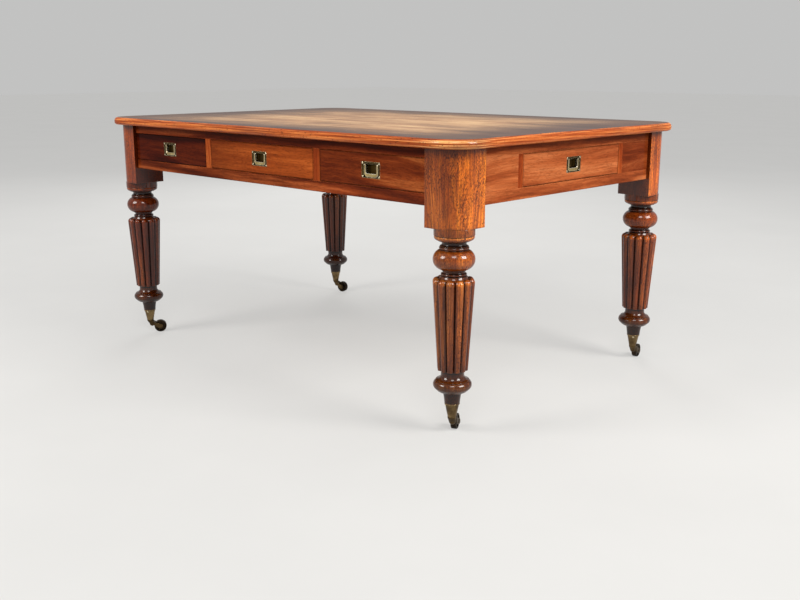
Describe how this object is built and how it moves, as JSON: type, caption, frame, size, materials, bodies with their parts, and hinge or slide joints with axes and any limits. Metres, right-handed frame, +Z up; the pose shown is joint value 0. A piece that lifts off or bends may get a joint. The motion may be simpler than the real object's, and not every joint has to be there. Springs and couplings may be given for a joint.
{
  "type": "partners desk",
  "caption": "Partners' writing table with a moulded top on turned, reeded legs with brass castors, and drawers with flush handles on every side of the apron.",
  "frame": {"origin": "on the floor under the middle of the table", "axes": "+X to the right along the length, +Y from the front long side to the rear one, +Z up"},
  "size_m": [1.58, 1.06, 0.76],
  "materials": {
    "mahogany_top": "french polished mahogany, faded to honey brown",
    "mahogany_leg": "polished mahogany",
    "mahogany_frame": "polished mahogany",
    "mahogany_drawer": "polished mahogany, dark red-brown",
    "drawer_lining": "unpolished secondary wood",
    "brass": "aged brass",
    "dark_brass": "dark patinated brass, worn on the tread"
  },
  "bodies": {
    "frame": {"castor_cups": "brass", "cross_dividers": "drawer_lining", "desk_top": "mahogany_top", "drawer_dividers": "drawer_lining", "drawer_kickers": "drawer_lining", "drawer_runners": "drawer_lining", "end_panels": "mahogany_frame", "frame_uprights": "mahogany_frame", "front_lower_rail": "mahogany_frame", "front_upper_rail": "mahogany_frame", "left_lower_rail": "mahogany_frame", "left_upper_rail": "mahogany_frame", "leg_front_left": "mahogany_leg", "leg_front_right": "mahogany_leg", "leg_rear_left": "mahogany_leg", "leg_rear_right": "mahogany_leg", "rear_lower_rail": "mahogany_frame", "rear_upper_rail": "mahogany_frame", "right_lower_rail": "mahogany_frame", "right_upper_rail": "mahogany_frame"},
    "front_left_drawer": {"front_left_drawer_front": "mahogany_drawer", "front_left_drawer_box": "drawer_lining", "front_left_handle_plate": "brass"},
    "front_left_bail": {"front_left_handle_bail": "brass"},
    "front_middle_drawer": {"front_middle_drawer_front": "mahogany_drawer", "front_middle_drawer_box": "drawer_lining", "front_middle_handle_plate": "brass"},
    "front_middle_bail": {"front_middle_handle_bail": "brass"},
    "front_right_drawer": {"front_right_drawer_front": "mahogany_drawer", "front_right_drawer_box": "drawer_lining", "front_right_handle_plate": "brass"},
    "front_right_bail": {"front_right_handle_bail": "brass"},
    "right_end_drawer": {"right_end_drawer_front": "mahogany_drawer", "right_end_drawer_box": "drawer_lining", "right_end_handle_plate": "brass"},
    "right_end_bail": {"right_end_handle_bail": "brass"},
    "rear_right_drawer": {"rear_right_drawer_front": "mahogany_drawer", "rear_right_drawer_box": "drawer_lining", "rear_right_handle_plate": "brass"},
    "rear_right_bail": {"rear_right_handle_bail": "brass"},
    "rear_middle_drawer": {"rear_middle_drawer_front": "mahogany_drawer", "rear_middle_drawer_box": "drawer_lining", "rear_middle_handle_plate": "brass"},
    "rear_middle_bail": {"rear_middle_handle_bail": "brass"},
    "rear_left_drawer": {"rear_left_drawer_front": "mahogany_drawer", "rear_left_drawer_box": "drawer_lining", "rear_left_handle_plate": "brass"},
    "rear_left_bail": {"rear_left_handle_bail": "brass"},
    "left_end_drawer": {"left_end_drawer_front": "mahogany_drawer", "left_end_drawer_box": "drawer_lining", "left_end_handle_plate": "brass"},
    "left_end_bail": {"left_end_handle_bail": "brass"},
    "front_right_castor": {"castor_horn_front_right": "brass"},
    "front_right_wheel": {"castor_wheel_front_right": "dark_brass"},
    "rear_right_castor": {"castor_horn_rear_right": "brass"},
    "rear_right_wheel": {"castor_wheel_rear_right": "dark_brass"},
    "rear_left_castor": {"castor_horn_rear_left": "brass"},
    "rear_left_wheel": {"castor_wheel_rear_left": "dark_brass"},
    "front_left_castor": {"castor_horn_front_left": "brass"},
    "front_left_wheel": {"castor_wheel_front_left": "dark_brass"}
  },
  "joints": [
    {"name": "front_left_slide", "type": "slide", "parent": "frame", "child": "front_left_drawer", "axis": [0, -1, 0], "range_m": [0, 0.19]},
    {"name": "front_left_bail_swing", "type": "hinge", "parent": "front_left_drawer", "child": "front_left_bail", "pos_m": [-0.4605, -0.49025, 0.6795], "axis": [-1, 0, 0], "range_deg": [0, 95]},
    {"name": "front_middle_slide", "type": "slide", "parent": "frame", "child": "front_middle_drawer", "axis": [0, -1, 0], "range_m": [0, 0.4]},
    {"name": "front_middle_bail_swing", "type": "hinge", "parent": "front_middle_drawer", "child": "front_middle_bail", "pos_m": [0, -0.49025, 0.6795], "axis": [-1, 0, 0], "range_deg": [0, 95]},
    {"name": "front_right_slide", "type": "slide", "parent": "frame", "child": "front_right_drawer", "axis": [0, -1, 0], "range_m": [0, 0.19]},
    {"name": "front_right_bail_swing", "type": "hinge", "parent": "front_right_drawer", "child": "front_right_bail", "pos_m": [0.4605, -0.49025, 0.6795], "axis": [-1, 0, 0], "range_deg": [0, 95]},
    {"name": "right_end_slide", "type": "slide", "parent": "frame", "child": "right_end_drawer", "axis": [1, 0, 0], "range_m": [0, 0.4]},
    {"name": "right_end_bail_swing", "type": "hinge", "parent": "right_end_drawer", "child": "right_end_bail", "pos_m": [0.75025, 0, 0.6795], "axis": [0, -1, 0], "range_deg": [0, 95]},
    {"name": "rear_right_slide", "type": "slide", "parent": "frame", "child": "rear_right_drawer", "axis": [0, 1, 0], "range_m": [0, 0.19]},
    {"name": "rear_right_bail_swing", "type": "hinge", "parent": "rear_right_drawer", "child": "rear_right_bail", "pos_m": [0.4605, 0.49025, 0.6795], "axis": [1, 0, 0], "range_deg": [0, 95]},
    {"name": "rear_middle_slide", "type": "slide", "parent": "frame", "child": "rear_middle_drawer", "axis": [0, 1, 0], "range_m": [0, 0.4]},
    {"name": "rear_middle_bail_swing", "type": "hinge", "parent": "rear_middle_drawer", "child": "rear_middle_bail", "pos_m": [0, 0.49025, 0.6795], "axis": [1, 0, 0], "range_deg": [0, 95]},
    {"name": "rear_left_slide", "type": "slide", "parent": "frame", "child": "rear_left_drawer", "axis": [0, 1, 0], "range_m": [0, 0.19]},
    {"name": "rear_left_bail_swing", "type": "hinge", "parent": "rear_left_drawer", "child": "rear_left_bail", "pos_m": [-0.4605, 0.49025, 0.6795], "axis": [1, 0, 0], "range_deg": [0, 95]},
    {"name": "left_end_slide", "type": "slide", "parent": "frame", "child": "left_end_drawer", "axis": [-1, 0, 0], "range_m": [0, 0.4]},
    {"name": "left_end_bail_swing", "type": "hinge", "parent": "left_end_drawer", "child": "left_end_bail", "pos_m": [-0.75025, 0, 0.6795], "axis": [0, 1, 0], "range_deg": [0, 95]},
    {"name": "front_right_castor_swivel", "type": "hinge", "parent": "frame", "child": "front_right_castor", "pos_m": [0.711, -0.451, 0.0465], "axis": [0, 0, 1], "continuous": true},
    {"name": "front_right_wheel_spin", "type": "hinge", "parent": "front_right_castor", "child": "front_right_wheel", "pos_m": [0.6961, -0.42044, 0.021], "axis": [-0.8988, -0.4384, 0], "continuous": true},
    {"name": "rear_right_castor_swivel", "type": "hinge", "parent": "frame", "child": "rear_right_castor", "pos_m": [0.711, 0.451, 0.0465], "axis": [0, 0, 1], "continuous": true},
    {"name": "rear_right_wheel_spin", "type": "hinge", "parent": "rear_right_castor", "child": "rear_right_wheel", "pos_m": [0.70568, 0.48458, 0.021], "axis": [-0.9877, -0.1564, 0], "continuous": true},
    {"name": "rear_left_castor_swivel", "type": "hinge", "parent": "frame", "child": "rear_left_castor", "pos_m": [-0.711, 0.451, 0.0465], "axis": [0, 0, 1], "continuous": true},
    {"name": "rear_left_wheel_spin", "type": "hinge", "parent": "rear_left_castor", "child": "rear_left_wheel", "pos_m": [-0.67816, 0.4598, 0.021], "axis": [-0.2588, 0.9659, 0], "continuous": true},
    {"name": "front_left_castor_swivel", "type": "hinge", "parent": "frame", "child": "front_left_castor", "pos_m": [-0.711, -0.451, 0.0465], "axis": [0, 0, 1], "continuous": true},
    {"name": "front_left_wheel_spin", "type": "hinge", "parent": "front_left_castor", "child": "front_left_wheel", "pos_m": [-0.6915, -0.42315, 0.021], "axis": [-0.8192, 0.5736, 0], "continuous": true}
  ]
}
